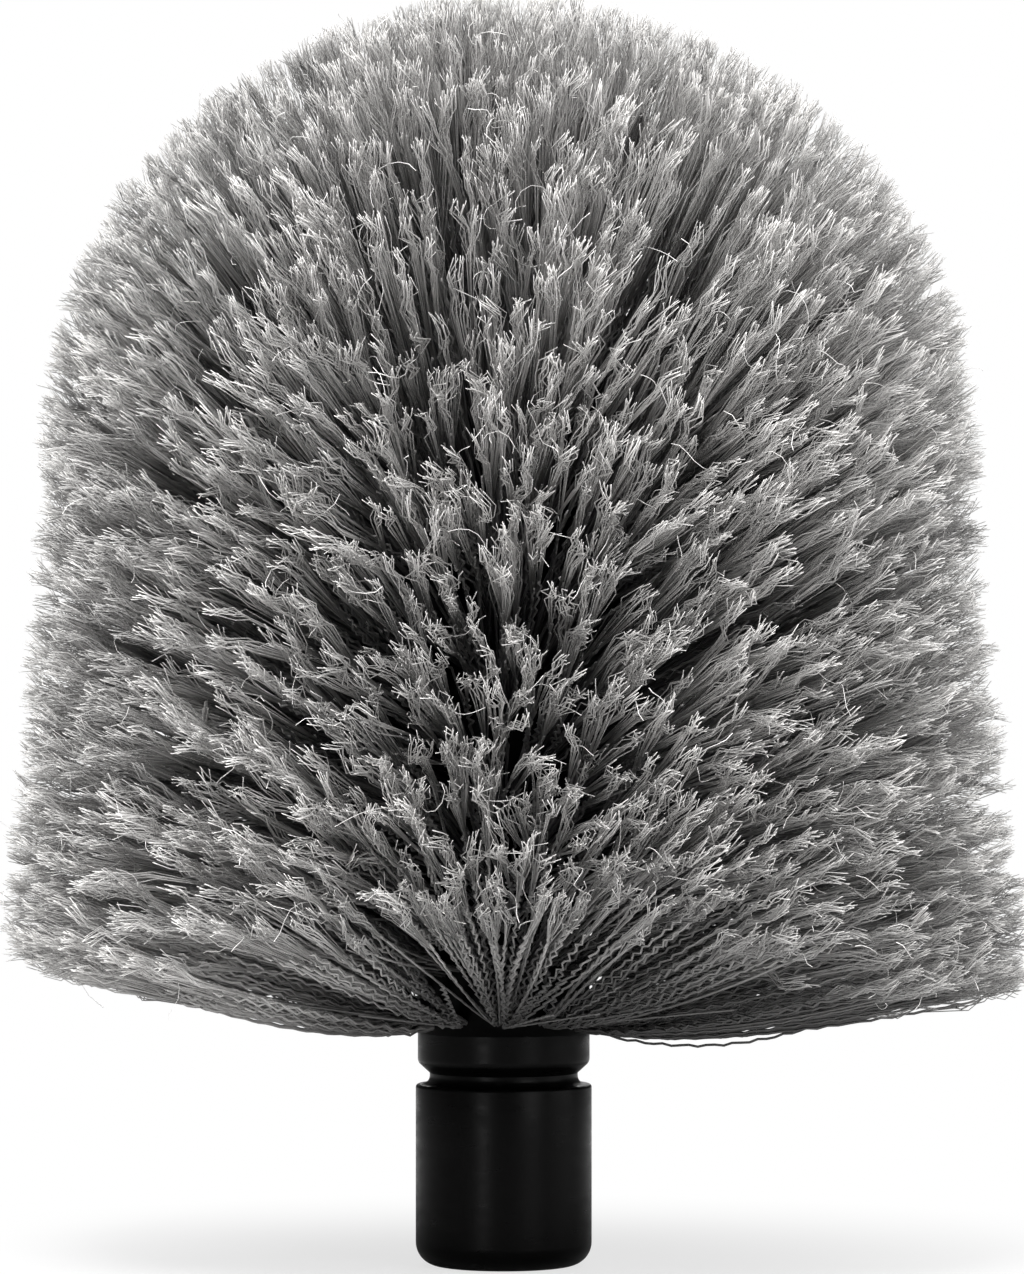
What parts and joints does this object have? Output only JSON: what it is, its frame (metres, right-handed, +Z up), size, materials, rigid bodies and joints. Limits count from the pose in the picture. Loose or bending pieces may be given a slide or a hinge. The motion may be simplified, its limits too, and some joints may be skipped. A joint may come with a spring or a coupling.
{
  "type": "cobweb brush",
  "caption": "Domed cobweb brush head: rows of crimped, split-tip filament tufts set in a core, on a socket that screws on to a pole.",
  "frame": {"origin": "centre of the socket's mouth, on the barrel's flat bottom face", "axes": "+Z up along the pole axis, from the socket to the top of the dome; the brush is round about it, with a tuft of the lowest row on +X"},
  "size_m": [0.1927, 0.1925, 0.2444],
  "materials": {
    "black_plastic": "satin black moulded plastic with faint turning marks",
    "grey_filament": "crimped grey filament with split, paler tips",
    "steel": "bright zinc-plated wire"
  },
  "bodies": {
    "root": {"socket": "black_plastic", "socket_screw": "steel", "core": "black_plastic", "tuft_anchors": "steel", "tuft_row_01": "grey_filament", "tuft_row_02": "grey_filament", "tuft_row_03": "grey_filament", "tuft_row_04": "grey_filament", "tuft_row_05": "grey_filament", "tuft_row_06": "grey_filament", "tuft_row_07": "grey_filament", "tuft_row_08": "grey_filament", "tuft_row_09": "grey_filament", "tuft_row_10": "grey_filament", "tuft_row_11": "grey_filament", "tuft_row_12": "grey_filament", "tuft_row_13": "grey_filament"}
  },
  "joints": []
}
